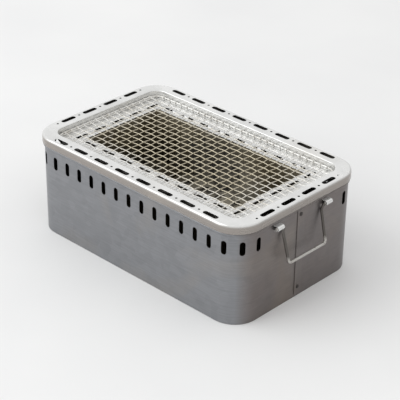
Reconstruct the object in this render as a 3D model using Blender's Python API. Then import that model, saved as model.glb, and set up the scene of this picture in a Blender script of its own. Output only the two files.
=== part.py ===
"""Table-top charcoal hibachi in galvanised sheet.

A rolled casing carries a perforated top frame. A perforated flange and the
fire tub under it hang in the frame's recess, a loose grate stands in the tub,
and a wire cooking net lies over the flange. A wire bail handle swings in two
straps on each short side.

Metres, +Z up. The origin is the centre of the casing's underside; +X is the
long way, and the lap seam of the casing is on the +X side.
"""

from itertools import product
from math import cos, hypot, pi, radians, sin, tan

import bmesh
import bpy
from mathutils import Vector

# Driving dimensions
LENGTH = 0.398           # over the top frame's skirt
WIDTH = 0.250
HEIGHT = 0.150           # underside to the top of the rim
CORNER_RADIUS = 0.040    # outer corner of the top frame
SHEET = 0.0010           # thickness of the sheet parts
GAP = 0.0003             # clearance between touching pieces

# Facets and cutters
CORNER_STEPS = 7         # facets in each rounded corner of the outer pieces
SMALL_CORNER_STEPS = 4   # in each corner of the inner pieces
RIVET_SIDES = 8
DOT_SIDES = 6
CUT_DEPTH = 0.0040       # how far a cutter reaches each side of the sheet
TAPER_CUT_DEPTH = 0.0080  # the same where the sheet slopes

# Casing (depths are below the top of the rim)
CASING_INSET = 0.0030    # casing wall inside the top frame's outline
WALL_TOP = 0.0023        # depth
SKIRT_BOTTOM = 0.0084    # depth
COLLAR_TOP = 0.0090      # depth
COLLAR_BOTTOM = 0.0165   # depth
BEAD_HEIGHT = 0.0034     # rolled lower edge of the collar
BEAD_BULGE = 0.0011
VENT_COUNT = 49          # places at one pitch round the wall
VENT_START = -0.1505     # first place, along the wall from the middle of the front
VENT_SIZE = (0.0200, 0.0077)
VENT_DEPTH = 0.0355      # depth of their centres
VENT_FREE_HALF = 0.0740  # no vents this near the middle of a short side
PAN_LIP = 0.0120
PAN_BEND = 0.0030

# Lap seam, in the middle of the +X side
SEAM_Y = -0.0075         # free edge
SEAM_WIDTH = 0.0140
SEAM_THICKNESS = 0.0008
SEAM_BOTTOM = 0.0040
SEAM_RIVET_Y = -0.0017
SEAM_RIVET_DEPTHS = (0.0233, 0.1350)
RIVET_RADIUS = 0.0015
RIVET_HEAD_RADIUS = 0.0028
RIVET_HEAD_HEIGHT = 0.0013

# Top frame
RIM_ROUND = 0.0036       # width of the rounded outer edge
RIM_FLAT_INNER = 0.0208
RECESS_WALL = 0.0222
RECESS_DEPTH = 0.0105    # rim top to flange top
LEDGE_WIDTH = 0.0070
FRAME_ROW_INSET = 0.0088
FRAME_PITCH = 0.0408
FRAME_DASH = (0.0250, 0.0074)
FRAME_DASH_COUNTS = (8, 4)
FRAME_DOT_COUNTS = (7, 5)
FRAME_DOT_RADIUS = 0.0017

# Firebox
FLANGE_GAP = 0.0008
OPENING_HALF = (0.1424, 0.0700)
OPENING_RADIUS = 0.0060
FLANGE_ROW_HALF = (0.1516, 0.0787)
FLANGE_PITCH = 0.0353
FLANGE_DASH = (0.0230, 0.0070)
FLANGE_DASH_COUNTS = (8, 5)
TUB_DEPTH = 0.1080       # rim top to tub floor
TUB_RADIUS = 0.0090      # corner radius where the tub is as large as the opening
TUB_SET_BACK = 0.0010    # tub wall behind the edge of the opening
TUB_TAPER = 0.0050
TUB_LIP = 0.0038
TUB_BEND = 0.0030
DRAUGHT_SLOT = (0.0150, 0.0060)
DRAUGHT_Z = 0.0525
DRAUGHT_COUNTS = (6, 2)
DRAUGHT_PITCHES = (0.0440, 0.0500)

# Grate
GRATE_HALF = (0.1300, 0.0585)
GRATE_TOP = 0.0655
GRATE_SLOT = (0.0420, 0.0080)
GRATE_SLOTS = 8
GRATE_PITCH = 0.0300
GRATE_ROW_Y = 0.0270
RAIL_X = 0.0850
RAIL_THICKNESS = 0.0040
RAIL_LENGTH = 0.1000

# Cooking net
NET_PITCH = 0.0121
NET_WIRE = 0.0018
NET_RIM_WIRE = 0.0032
NET_RIM_SIDES = 8
NET_CLEARANCE = 0.0016

# Handles
WIRE = 0.0042
WIRE_BEVEL_STEPS = 2
PIVOT_OUT = 0.0050       # pivot axis out from the wall
PIVOT_DEPTH = 0.0230     # depth
PIVOT_TIP = 0.0560       # ends of the turned-out wire
LEG_Y = 0.0395
LEG_LEAN = 0.0004        # legs close in this much over the crank
BAR_HALF = 0.0372
BAR_OUT = 0.0140
BAR_DEPTH = 0.0774       # depth
CRANK_DROP = 0.0090      # where the legs bear on the wall, below the pivot
BEND_RADIUS = 0.0045
BEND_STEPS = 4
STRAP_Y = 0.0485
STRAP_WIDTH = 0.0120
STRAP_SHEET = 0.0010
STRAP_BORE = 0.0026
STRAP_FOOT = 0.0050
STRAP_STEPS = 8


def clear_scene():
    for obj in list(bpy.data.objects):
        bpy.data.objects.remove(obj, do_unlink=True)


def metal(name, colour, roughness, metallic):
    mat = bpy.data.materials.new(name)
    mat.use_nodes = True
    shader = mat.node_tree.nodes["Principled BSDF"]
    shader.inputs["Base Color"].default_value = (*colour, 1.0)
    shader.inputs["Roughness"].default_value = roughness
    shader.inputs["Metallic"].default_value = metallic
    return mat


def add_object(name, bm, mat):
    """Turn a bmesh in world coordinates into an object."""
    bmesh.ops.recalc_face_normals(bm, faces=bm.faces)
    mesh = bpy.data.meshes.new(name)
    bm.to_mesh(mesh)
    bm.free()
    mesh.shade_smooth()
    mesh.set_sharp_from_angle(angle=radians(35))
    mesh.materials.append(mat)
    obj = bpy.data.objects.new(name, mesh)
    bpy.context.scene.collection.objects.link(obj)
    return obj


def cut(obj, bm):
    """Take the closed shapes in bm out of obj with an exact Boolean."""
    cutter = add_object(obj.name + "_cutter", bm, obj.data.materials[0])
    cutter.hide_render = True
    cutter.display_type = "WIRE"
    modifier = obj.modifiers.new("cut", "BOOLEAN")
    modifier.operation = "DIFFERENCE"
    modifier.solver = "EXACT"
    modifier.object = cutter


def outline(half_x, half_y, radius, steps=SMALL_CORNER_STEPS):
    """Rounded rectangle, anticlockwise from the +X side."""
    points = []
    for quarter, (sx, sy) in enumerate(((1, 1), (-1, 1), (-1, -1), (1, -1))):
        for i in range(steps + 1):
            a = (quarter + i / steps) * pi / 2
            points.append((sx * (half_x - radius) + radius * cos(a),
                           sy * (half_y - radius) + radius * sin(a)))
    return points


def loft(loops, closed=False):
    """Bridge loops of equal length; cap both ends unless the last meets the first."""
    bm = bmesh.new()
    rings = [[bm.verts.new(p) for p in loop] for loop in loops]
    count = len(rings[0])
    last = len(rings) if closed else len(rings) - 1
    for k in range(last):
        a = rings[k]
        b = rings[(k + 1) % len(rings)]
        for i in range(count):
            j = (i + 1) % count
            bm.faces.new((a[i], a[j], b[j], b[i]))
    if not closed:
        bm.faces.new(rings[0])
        bm.faces.new(rings[-1])
    return bm


def frame_loop(inset, z):
    """Loop at height z, set in from the top frame's outline."""
    points = outline(LENGTH / 2 - inset, WIDTH / 2 - inset, CORNER_RADIUS - inset, CORNER_STEPS)
    return [(x, y, z) for x, y in points]


def tub_loop(outset, z):
    """Loop at height z, set out from the opening's outline."""
    points = outline(OPENING_HALF[0] + outset, OPENING_HALF[1] + outset, TUB_RADIUS + outset)
    return [(x, y, z) for x, y in points]


def prism(bm, shape, centre, u, v, depth):
    """Add a closed prism: a flat shape in the u, v directions, depth long both ways."""
    centre, u, v = Vector(centre), Vector(u).normalized(), Vector(v).normalized()
    n = u.cross(v)
    ends = []
    for side in (-depth, depth):
        ends.append([bm.verts.new(centre + u * a + v * b + n * side) for a, b in shape])
    bm.faces.new(ends[0][::-1])
    bm.faces.new(ends[1])
    count = len(shape)
    for i in range(count):
        j = (i + 1) % count
        bm.faces.new((ends[0][i], ends[0][j], ends[1][j], ends[1][i]))


def stadium(length, width, steps=3):
    """Round-ended slot, its length along the first direction."""
    r = width / 2
    half = length / 2 - r
    points = []
    for side, start in ((half, -pi / 2), (-half, pi / 2)):
        for i in range(steps + 1):
            a = start + pi * i / steps
            points.append((side + r * cos(a), r * sin(a)))
    return points


def disc(radius, steps):
    return [(radius * cos(2 * pi * i / steps), radius * sin(2 * pi * i / steps)) for i in range(steps)]


def rectangle(width, height):
    x, y = width / 2, height / 2
    return [(-x, -y), (x, -y), (x, y), (-x, y)]


def row(count, pitch):
    return [(i - (count - 1) / 2) * pitch for i in range(count)]


# Casing

def casing_half():
    return LENGTH / 2 - CASING_INSET, WIDTH / 2 - CASING_INSET, CORNER_RADIUS - CASING_INSET


def wall_sides():
    """Half lengths of the wall's straight stretches, and the length of a corner."""
    hx, hy, r = casing_half()
    return hx - r, hy - r, r * pi / 2


def wall_point(s):
    """Point and outward normal of the casing wall, s along it from the middle of the front."""
    hx, hy, r = casing_half()
    side_x, side_y, arc = wall_sides()
    perimeter = 4 * (side_x + side_y + arc)
    s = (s + perimeter / 2) % perimeter - perimeter / 2
    mirror = 1 if s >= 0 else -1
    s = abs(s)
    if s <= side_x:
        return (mirror * s, -hy), (0, -1)
    s -= side_x
    if s <= arc:
        a = s / r
        return (mirror * (side_x + r * sin(a)), -side_y - r * cos(a)), (mirror * sin(a), -cos(a))
    s -= arc
    if s <= 2 * side_y:
        return (mirror * hx, -side_y + s), (mirror, 0)
    s -= 2 * side_y
    if s <= arc:
        a = s / r
        return (mirror * (side_x + r * cos(a)), side_y + r * sin(a)), (mirror * cos(a), sin(a))
    s -= arc
    return (mirror * (side_x - s), hy), (0, 1)


def vent_places():
    """Vents at one pitch all round the wall, left out beside the handles."""
    pitch = 4 * sum(wall_sides()) / VENT_COUNT
    places = [wall_point(VENT_START + k * pitch) for k in range(VENT_COUNT)]
    return [(point, normal) for point, normal in places if abs(point[1]) > VENT_FREE_HALF]


def cut_rivet_holes(cutters):
    """Add a cutter for each rivet of the lap seam."""
    hole = disc(RIVET_RADIUS + GAP, RIVET_SIDES)
    for depth in SEAM_RIVET_DEPTHS:
        place = (casing_half()[0], SEAM_RIVET_Y, HEIGHT - depth)
        prism(cutters, hole, place, (0, 1, 0), (0, 0, 1), CUT_DEPTH)


def make_casing_wall(mat):
    top = HEIGHT - WALL_TOP
    inner = CASING_INSET + SHEET
    loops = [frame_loop(CASING_INSET, 0.0), frame_loop(CASING_INSET, top), frame_loop(inner, top),
             frame_loop(inner, 0.0)]
    wall = add_object("casing_wall", loft(loops, closed=True), mat)
    cutters = bmesh.new()
    for (x, y), (nx, ny) in vent_places():
        z = HEIGHT - VENT_DEPTH
        prism(cutters, stadium(*VENT_SIZE), (x, y, z), (0, 0, 1), (-ny, nx, 0), CUT_DEPTH)
    slot = rectangle(STRAP_WIDTH + 2 * GAP, STRAP_SHEET + 2 * GAP)
    for sx, sy, sz in product((-1, 1), repeat=3):
        z = HEIGHT - PIVOT_DEPTH + sz * (STRAP_BORE + STRAP_SHEET / 2)
        place = (sx * casing_half()[0], sy * STRAP_Y, z)
        prism(cutters, slot, place, (0, 1, 0), (0, 0, 1), CUT_DEPTH)
    cut_rivet_holes(cutters)
    cut(wall, cutters)


def make_collar(mat):
    """Hoop round the top of the casing, its lower edge rolled outwards."""
    inner = CASING_INSET - GAP
    face = inner - SHEET
    top = HEIGHT - COLLAR_TOP
    bottom = HEIGHT - COLLAR_BOTTOM
    bead = [(face - BEAD_BULGE * sin(a), bottom + BEAD_HEIGHT * (1 + cos(a)) / 2)
            for a in (0, pi / 3, 2 * pi / 3, 5 * pi / 6)]
    profile = [(inner, top), (face, top), *bead, (inner, bottom)]
    loops = [frame_loop(inset, z) for inset, z in profile]
    add_object("casing_collar", loft(loops, closed=True), mat)


def make_casing_bottom(mat):
    """Shallow pan that closes the casing from inside."""
    side = CASING_INSET + SHEET + GAP
    bend = [(side + PAN_BEND * (1 - sin(a)), PAN_BEND * (1 - cos(a))) for a in (0, pi / 4, pi / 2)]
    inner = side + SHEET
    profile = [*bend, (side, PAN_LIP), (inner, PAN_LIP), (inner, PAN_BEND), (side + PAN_BEND, SHEET)]
    loops = [frame_loop(inset, z) for inset, z in profile]
    add_object("casing_bottom", loft(loops), mat)


def make_seam(mat, rivet_mat):
    """Cover of the lap seam, with a rivet near each end."""
    wall_x = casing_half()[0]
    outer = wall_x + GAP + SEAM_THICKNESS
    high = HEIGHT - COLLAR_BOTTOM - GAP
    centre = (outer - SEAM_THICKNESS / 2, SEAM_Y + SEAM_WIDTH / 2, (SEAM_BOTTOM + high) / 2)
    bm = bmesh.new()
    prism(bm, rectangle(SEAM_WIDTH, high - SEAM_BOTTOM), centre, (0, 1, 0), (0, 0, 1), SEAM_THICKNESS / 2)
    strip = add_object("seam_strip", bm, mat)
    cutters = bmesh.new()
    cut_rivet_holes(cutters)
    cut(strip, cutters)
    head_x = outer + GAP
    tail_x = wall_x - SHEET - GAP
    head = [(head_x + RIVET_HEAD_HEIGHT * sin(a), RIVET_HEAD_RADIUS * cos(a))
            for a in (0, pi / 6, pi / 3, 0.45 * pi)]
    tail = [(tail_x - x + head_x, r) for x, r in reversed(head[:3])]
    profile = [*tail, (tail_x, RIVET_RADIUS), (head_x, RIVET_RADIUS), *head]
    for name, depth in zip(("seam_rivet_top", "seam_rivet_bottom"), SEAM_RIVET_DEPTHS):
        z = HEIGHT - depth
        loops = [[(x, SEAM_RIVET_Y + a, z + b) for a, b in disc(r, RIVET_SIDES)] for x, r in profile]
        add_object(name, loft(loops), rivet_mat)


# Top frame, firebox and grate

def slot_row(cutters, shape, counts, pitch, half_x, half_y, z):
    """Add cutters of one shape along the four sides of a rectangle, centred on each side."""
    for side in (-1, 1):
        for x in row(counts[0], pitch):
            prism(cutters, shape, (x, side * half_y, z), (1, 0, 0), (0, 1, 0), CUT_DEPTH)
        for y in row(counts[1], pitch):
            prism(cutters, shape, (side * half_x, y, z), (0, 1, 0), (-1, 0, 0), CUT_DEPTH)


def rim_profile():
    """Section of the top frame: skirt, rounded edge, rim, recess wall and ledge."""
    z = HEIGHT
    ledge = z - RECESS_DEPTH - SHEET - GAP
    ledge_end = RECESS_WALL + LEDGE_WIDTH
    back = RECESS_WALL - SHEET
    edge = [(RIM_ROUND * (1 - cos(a)), z - RIM_ROUND * (1 - sin(a))) for a in (0, pi / 4, pi / 2)]
    inside = RIM_ROUND - SHEET
    under = [(RIM_ROUND - inside * cos(a), z - RIM_ROUND + inside * sin(a)) for a in (pi / 2, pi / 4, 0)]
    return [
        (0, z - SKIRT_BOTTOM), *edge, (RIM_FLAT_INNER, z), (RECESS_WALL, z - (RECESS_WALL - RIM_FLAT_INNER)),
        (RECESS_WALL, ledge), (ledge_end, ledge), (ledge_end, ledge - SHEET), (back, ledge - SHEET),
        (back, z - (RECESS_WALL - RIM_FLAT_INNER) - SHEET / 2), (RIM_FLAT_INNER - SHEET / 2, z - SHEET),
        *under, (SHEET, z - SKIRT_BOTTOM)]


def make_top_frame(mat):
    """Rim plate with a short skirt outside and a stepped recess inside."""
    loops = [frame_loop(inset, z) for inset, z in rim_profile()]
    frame = add_object("top_frame", loft(loops, closed=True), mat)
    half_x = LENGTH / 2 - FRAME_ROW_INSET
    half_y = WIDTH / 2 - FRAME_ROW_INSET
    dot = disc(FRAME_DOT_RADIUS, DOT_SIDES)
    cutters = bmesh.new()
    slot_row(cutters, stadium(*FRAME_DASH), FRAME_DASH_COUNTS, FRAME_PITCH, half_x, half_y, HEIGHT)
    slot_row(cutters, dot, FRAME_DOT_COUNTS, FRAME_PITCH, half_x, half_y, HEIGHT)
    cut(frame, cutters)


def make_flange(mat):
    """Flat plate round the fire opening, with one row of dashes."""
    z = HEIGHT - RECESS_DEPTH
    edge = RECESS_WALL + FLANGE_GAP
    outer = outline(LENGTH / 2 - edge, WIDTH / 2 - edge, CORNER_RADIUS - edge)
    inner = outline(*OPENING_HALF, OPENING_RADIUS)
    loops = [[(x, y, h) for x, y in shape]
             for shape, h in ((outer, z - SHEET), (outer, z), (inner, z), (inner, z - SHEET))]
    flange = add_object("firebox_flange", loft(loops, closed=True), mat)
    cutters = bmesh.new()
    slot_row(cutters, stadium(*FLANGE_DASH), FLANGE_DASH_COUNTS, FLANGE_PITCH, *FLANGE_ROW_HALF, z)
    cut(flange, cutters)


def tub_profile():
    """Outset and height along the tub's section: outside from the floor up, lip, inside down."""
    top = HEIGHT - RECESS_DEPTH - SHEET - GAP
    floor = HEIGHT - TUB_DEPTH
    back = TUB_SET_BACK
    foot = back - TUB_TAPER
    return [
        (foot - TUB_BEND, floor - SHEET), (foot + SHEET, floor + TUB_BEND - SHEET),
        (back + SHEET, top - SHEET), (back + TUB_LIP, top - SHEET), (back + TUB_LIP, top),
        (back, top), (foot, floor + TUB_BEND), (foot - TUB_BEND, floor)]


def make_tub(mat):
    """Tapered sheet tub with an outward lip under the flange and draught slots low down."""
    tub = add_object("firebox_tub", loft([tub_loop(outset, z) for outset, z in tub_profile()]), mat)
    shape = stadium(*DRAUGHT_SLOT)
    half_x, half_y = (half - TUB_TAPER for half in OPENING_HALF)
    cutters = bmesh.new()
    for side in (-1, 1):
        for x in row(DRAUGHT_COUNTS[0], DRAUGHT_PITCHES[0]):
            prism(cutters, shape, (x, side * half_y, DRAUGHT_Z), (0, 0, 1), (1, 0, 0), TAPER_CUT_DEPTH)
        for y in row(DRAUGHT_COUNTS[1], DRAUGHT_PITCHES[1]):
            prism(cutters, shape, (side * half_x, y, DRAUGHT_Z), (0, 0, 1), (0, 1, 0), TAPER_CUT_DEPTH)
    cut(tub, cutters)


def make_grate(mat):
    """Slotted plate on two rails, loose in the tub."""
    z = GRATE_TOP - SHEET / 2
    bm = bmesh.new()
    prism(bm, outline(*GRATE_HALF, OPENING_RADIUS), (0, 0, z), (1, 0, 0), (0, 1, 0), SHEET / 2)
    grate = add_object("charcoal_grate", bm, mat)
    cutters = bmesh.new()
    for side in (-1, 1):
        for x in row(GRATE_SLOTS, GRATE_PITCH):
            place = (x, side * GRATE_ROW_Y, z)
            prism(cutters, stadium(*GRATE_SLOT), place, (0, 1, 0), (-1, 0, 0), CUT_DEPTH)
    cut(grate, cutters)
    low = HEIGHT - TUB_DEPTH + GAP
    high = GRATE_TOP - SHEET - GAP
    for name, x in (("grate_rail_left", -RAIL_X), ("grate_rail_right", RAIL_X)):
        bm = bmesh.new()
        centre = (x, 0, (low + high) / 2)
        prism(bm, rectangle(RAIL_LENGTH, high - low), centre, (0, 1, 0), (0, 0, 1), RAIL_THICKNESS / 2)
        add_object(name, bm, mat)


# Cooking net

def net_half():
    """Half sizes and corner radius of the middle of the net's rim wire."""
    inset = RECESS_WALL + NET_CLEARANCE + NET_RIM_WIRE / 2
    return LENGTH / 2 - inset, WIDTH / 2 - inset, CORNER_RADIUS - inset


def reach(across, half_along, half_across, radius):
    """How far a rounded rectangle reaches along one axis, at a place across it."""
    over = min(max(abs(across) - (half_across - radius), 0), radius)
    return half_along - radius + (radius ** 2 - over ** 2) ** 0.5


def net_quads():
    """Flat pieces of the crossed wires: crossings, stretches between them and loose ends."""
    hx, hy, r = net_half()
    edge = NET_RIM_WIRE / 2 + GAP
    half_x, half_y, radius = hx - edge, hy - edge, r - edge
    w = NET_WIRE / 2
    xs = row(2 * int((half_x - NET_WIRE) / NET_PITCH) + 1, NET_PITCH)
    ys = row(2 * int((half_y - NET_WIRE) / NET_PITCH) + 1, NET_PITCH)
    for flip, lines, crossings in ((False, ys, xs), (True, xs, ys)):
        along = half_y if flip else half_x
        across = half_x if flip else half_y
        for c in lines:
            end = reach(abs(c) + w, along, across, radius)
            stops = [a for a in crossings
                     if abs(a) + w < end and abs(c) + w < reach(abs(a) + w, across, along, radius)]
            cuts = [-end] + [v for a in stops for v in (a - w, a + w)] + [end]
            for k in range(0, len(cuts), 2):
                quad = (cuts[k], cuts[k + 1], c - w, c + w)
                yield quad[2:] + quad[:2] if flip else quad
            if not flip:
                for a in stops:
                    yield (a - w, a + w, c - w, c + w)


def make_net_wires(mat, low):
    """One flat grid of crossed wires, its underside at the height given."""
    bm = bmesh.new()
    corners = {}

    def corner(x, y, z):
        key = (round(x, 7), round(y, 7), z)
        if key not in corners:
            corners[key] = bm.verts.new((x, y, z))
        return corners[key]

    sides = {}
    for x0, x1, y0, y1 in net_quads():
        points = ((x0, y0), (x1, y0), (x1, y1), (x0, y1))
        bm.faces.new([corner(x, y, low + NET_WIRE) for x, y in points])
        bm.faces.new([corner(x, y, low) for x, y in reversed(points)])
        for i in range(4):
            a, b = points[i], points[(i + 1) % 4]
            key = frozenset(((round(a[0], 7), round(a[1], 7)), (round(b[0], 7), round(b[1], 7))))
            sides.setdefault(key, []).append((a, b))
    for users in sides.values():
        if len(users) == 1:
            a, b = users[0]
            high = low + NET_WIRE
            bm.faces.new((corner(*a, low), corner(*b, low), corner(*b, high), corner(*a, high)))
    add_object("cooking_net", bm, mat)


def make_net(mat):
    """Crossed wires inside a round rim wire, lying on the flange."""
    low = HEIGHT - RECESS_DEPTH + GAP
    make_net_wires(mat, low)
    hx, hy, r = net_half()
    loops = []
    for a, b in disc(NET_RIM_WIRE / 2, NET_RIM_SIDES):
        loops.append([(x, y, low + NET_RIM_WIRE / 2 + b) for x, y in outline(hx + a, hy + a, r + a)])
    add_object("net_rim", loft(loops, closed=True), mat)


# Handles

def sheet_section(path, thickness):
    """Closed outline of a bent sheet whose middle follows the path."""
    sides = ([], [])
    for i, (x, z) in enumerate(path):
        before = path[max(i - 1, 0)]
        after = path[min(i + 1, len(path) - 1)]
        dirs = []
        for p, q in ((before, (x, z)), ((x, z), after)):
            length = hypot(q[0] - p[0], q[1] - p[1])
            if length > 0:
                dirs.append(((q[0] - p[0]) / length, (q[1] - p[1]) / length))
        nx = -sum(d[1] for d in dirs) / len(dirs)
        nz = sum(d[0] for d in dirs) / len(dirs)
        scale = thickness / 2 / (nx * nx + nz * nz)
        sides[0].append((x + nx * scale, z + nz * scale))
        sides[1].append((x - nx * scale, z - nz * scale))
    return sides[0] + sides[1][::-1]


def make_strap(name, side, y, mat):
    """Strip bent round the handle wire, its feet through two slots in the wall."""
    wall_x = casing_half()[0]
    z = HEIGHT - PIVOT_DEPTH
    reach_z = STRAP_BORE + STRAP_SHEET / 2
    foot_x = -SHEET - GAP - STRAP_SHEET / 2
    path = [(foot_x, reach_z + STRAP_FOOT), (foot_x, reach_z)]
    for i in range(STRAP_STEPS + 1):
        a = pi / 2 - pi * i / STRAP_STEPS
        path.append((PIVOT_OUT + reach_z * cos(a), reach_z * sin(a)))
    path += [(foot_x, -reach_z), (foot_x, -reach_z - STRAP_FOOT)]
    section = [(side * (wall_x + a), z + b) for a, b in sheet_section(path, STRAP_SHEET)]
    loops = [[(x, y + half, h) for x, h in section] for half in (-STRAP_WIDTH / 2, STRAP_WIDTH / 2)]
    add_object(name, loft(loops), mat)


def rounded(corner_points):
    """Replace the inner corners of a polyline by short arcs."""
    points = [Vector(corner_points[0])]
    for a, b, c in zip(corner_points, corner_points[1:], corner_points[2:]):
        a, b, c = Vector(a), Vector(b), Vector(c)
        back, ahead = (a - b).normalized(), (c - b).normalized()
        half = back.angle(ahead) / 2
        cut_back = min(BEND_RADIUS / tan(half), 0.45 * min((a - b).length, (c - b).length))
        r = cut_back * tan(half)
        middle = b + (back + ahead).normalized() * (cut_back ** 2 + r ** 2) ** 0.5
        start = (b + back * cut_back - middle).normalized()
        stop = (b + ahead * cut_back - middle).normalized()
        for i in range(BEND_STEPS + 1):
            points.append(middle + start.slerp(stop, i / BEND_STEPS) * r)
    points.append(Vector(corner_points[-1]))
    return points


def make_bail(name, side, mat):
    """Wire handle; its ends turn out through the straps and its legs bear on the wall."""
    wall_x = casing_half()[0]
    pivot_x = wall_x + PIVOT_OUT
    pivot_z = HEIGHT - PIVOT_DEPTH
    bear_x = wall_x + WIRE / 2 + GAP
    corners = [(PIVOT_TIP, pivot_x, pivot_z),
               (LEG_Y, pivot_x, pivot_z),
               (LEG_Y - LEG_LEAN, bear_x, pivot_z - CRANK_DROP),
               (BAR_HALF, wall_x + BAR_OUT, HEIGHT - BAR_DEPTH)]
    path = [(side * x, y, z) for y, x, z in corners]
    path += [(x, -y, z) for x, y, z in reversed(path)]
    curve = bpy.data.curves.new(name, "CURVE")
    curve.dimensions = "3D"
    curve.bevel_depth = WIRE / 2
    curve.bevel_resolution = WIRE_BEVEL_STEPS
    curve.use_fill_caps = True
    points = rounded(path)
    spline = curve.splines.new("POLY")
    spline.points.add(len(points) - 1)
    origin = Vector((side * pivot_x, 0, pivot_z))
    for target, point in zip(spline.points, points):
        target.co = (*(point - origin), 1)
    curve.materials.append(mat)
    bail = bpy.data.objects.new(name, curve)
    bail.location = origin
    bpy.context.scene.collection.objects.link(bail)


def main():
    clear_scene()
    galvanised = metal("galvanised_sheet", (0.52, 0.53, 0.55), 0.42, 0.85)
    rim_sheet = metal("rim_sheet", (0.68, 0.69, 0.70), 0.32, 0.85)
    fired = metal("fired_sheet", (0.20, 0.18, 0.15), 0.60, 0.60)
    net_wire = metal("net_wire", (0.55, 0.54, 0.51), 0.40, 0.85)
    handle_wire = metal("handle_wire", (0.42, 0.41, 0.39), 0.38, 0.90)
    rivet = metal("rivet", (0.45, 0.44, 0.43), 0.40, 0.90)
    make_casing_wall(galvanised)
    make_collar(galvanised)
    make_casing_bottom(galvanised)
    make_seam(galvanised, rivet)
    make_top_frame(rim_sheet)
    make_flange(rim_sheet)
    make_tub(fired)
    make_grate(fired)
    make_net(net_wire)
    for side, place in ((-1, "left"), (1, "right")):
        make_strap(f"handle_strap_{place}_front", side, -STRAP_Y, rim_sheet)
        make_strap(f"handle_strap_{place}_back", side, STRAP_Y, rim_sheet)
        make_bail(f"handle_bail_{place}", side, handle_wire)


main()
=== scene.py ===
"""Looks of the table-top charcoal hibachi: galvanised sheet, a woven wire net and wire handles."""
from math import cos, hypot, pi, radians, sin, tan

import bmesh
import bpy
from mathutils import Matrix, Vector, noise


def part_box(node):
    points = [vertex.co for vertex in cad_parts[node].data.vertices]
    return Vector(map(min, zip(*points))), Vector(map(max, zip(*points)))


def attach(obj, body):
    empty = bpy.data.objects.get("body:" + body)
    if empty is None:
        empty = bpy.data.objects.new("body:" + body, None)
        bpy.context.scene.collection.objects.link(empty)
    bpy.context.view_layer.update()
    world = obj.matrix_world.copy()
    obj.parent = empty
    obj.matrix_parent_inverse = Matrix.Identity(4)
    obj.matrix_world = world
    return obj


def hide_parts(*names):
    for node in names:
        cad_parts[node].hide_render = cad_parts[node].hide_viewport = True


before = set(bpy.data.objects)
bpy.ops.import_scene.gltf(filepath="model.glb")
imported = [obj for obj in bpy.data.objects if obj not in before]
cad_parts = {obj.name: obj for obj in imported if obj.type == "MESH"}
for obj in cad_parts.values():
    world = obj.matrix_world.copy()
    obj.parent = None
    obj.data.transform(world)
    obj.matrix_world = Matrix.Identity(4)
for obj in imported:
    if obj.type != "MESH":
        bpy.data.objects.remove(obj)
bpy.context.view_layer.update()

RIM_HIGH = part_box("top_frame")[1]
WALL_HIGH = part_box("casing_wall")[1]
COLLAR_LOW, COLLAR_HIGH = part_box("casing_collar")
FLANGE_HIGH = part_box("firebox_flange")[1]
TUB_LOW, TUB_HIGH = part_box("firebox_tub")
GRATE_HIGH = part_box("charcoal_grate")[1]
NET_RIM_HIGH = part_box("net_rim")[1]
PAN_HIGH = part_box("casing_bottom")[1]
TOP = RIM_HIGH.z

# Driving dimensions that boxes don't give, in metres; a depth is measured down from the rim.
# They are the design's, but its sheets and net wires are thicker.
CORNER = 0.040           # outer corner of the top frame
SHEET = 0.0008           # casing and tub
THIN_SHEET = 0.0006      # top frame and flange
GAP = 0.0003
CASING_INSET = RIM_HIGH.x - WALL_HIGH.x
RIM_ROUND = 0.0036
RIM_CREASE = 0.0014      # bend radius at the top and the foot of the recess wall
RECESS_WALL = 0.0222
RECESS_DEPTH = TOP - FLANGE_HIGH.z
LEDGE = 0.0070
FRAME_ROW_INSET = 0.0088
FRAME_PITCH = 0.0408
FRAME_DASH = (0.0250, 0.0074)
FRAME_DOT = (0.0034, 0.0034)
FRAME_DASH_COUNTS = (8, 4)  # on a long and on a short side
FRAME_DOT_COUNTS = (7, 5)
FLANGE_GAP = 0.0008
FLANGE_ROW_HALF = (0.1516, 0.0787)
FLANGE_PITCH = 0.0353
FLANGE_DASH = (0.0230, 0.0070)
FLANGE_DASH_COUNTS = (8, 5)
OPENING_HALF = (0.1424, 0.0700)
OPENING_RADIUS = 0.0060
VENT_COUNT = 49          # all the way round, before the free stretches are left out
VENT_START = -0.1505
VENT_SIZE = (0.0077, 0.0200)
VENT_DEPTH = 0.0355
VENT_FREE_HALF = 0.0740  # vents nearer than this to the middle of a short side are left out
TUB_LIP = 0.0038
TUB_TAPER = 0.0050
TUB_BEND = 0.0030
TUB_RADIUS = 0.0100
DRAUGHT_SLOT = (0.0060, 0.0150)
DRAUGHT_Z = 0.0525
DRAUGHT_COUNTS = (6, 2)
DRAUGHT_PITCHES = (0.044, 0.050)
GRATE_SHEET = 0.0010
GRATE_SLOT = (0.0080, 0.0420)
GRATE_SLOTS = 8
GRATE_PITCH = 0.0300
GRATE_ROW_Y = 0.0270
NET_PITCH = 0.0121
NET_WIRE = 0.0013
NET_RIM_WIRE = 0.0024
NET_CLEARANCE = 0.0016
NET_RIM_INSET = 0.0016   # outside of the net to the middle of its rim wire
PIVOT_OUT = 0.0050
PIVOT_DEPTH = 0.0230
PIVOT_TIP = 0.0560
LEG_Y = 0.0395
KNEE_Y = 0.0391          # where a leg bends outwards
KNEE_DROP = 0.0090       # below the pivot
BAR_HALF = 0.0372
BAR_OUT = 0.0140         # from the wall
BAR_DEPTH = 0.0774
BAIL_BEND = 0.0050
WIRE = 0.0042
WIRE_CHAMFER = 0.0004    # length of the wire's eased tip
TIP_WIDTH = 0.80         # of the wire's width, at the tip
STRAP_THICKNESS = 0.0010
STRAP_BORE = 0.0026

SHARP_ANGLE = radians(38)
MERGE = 1e-6


# Sheets with pressed slots

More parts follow.
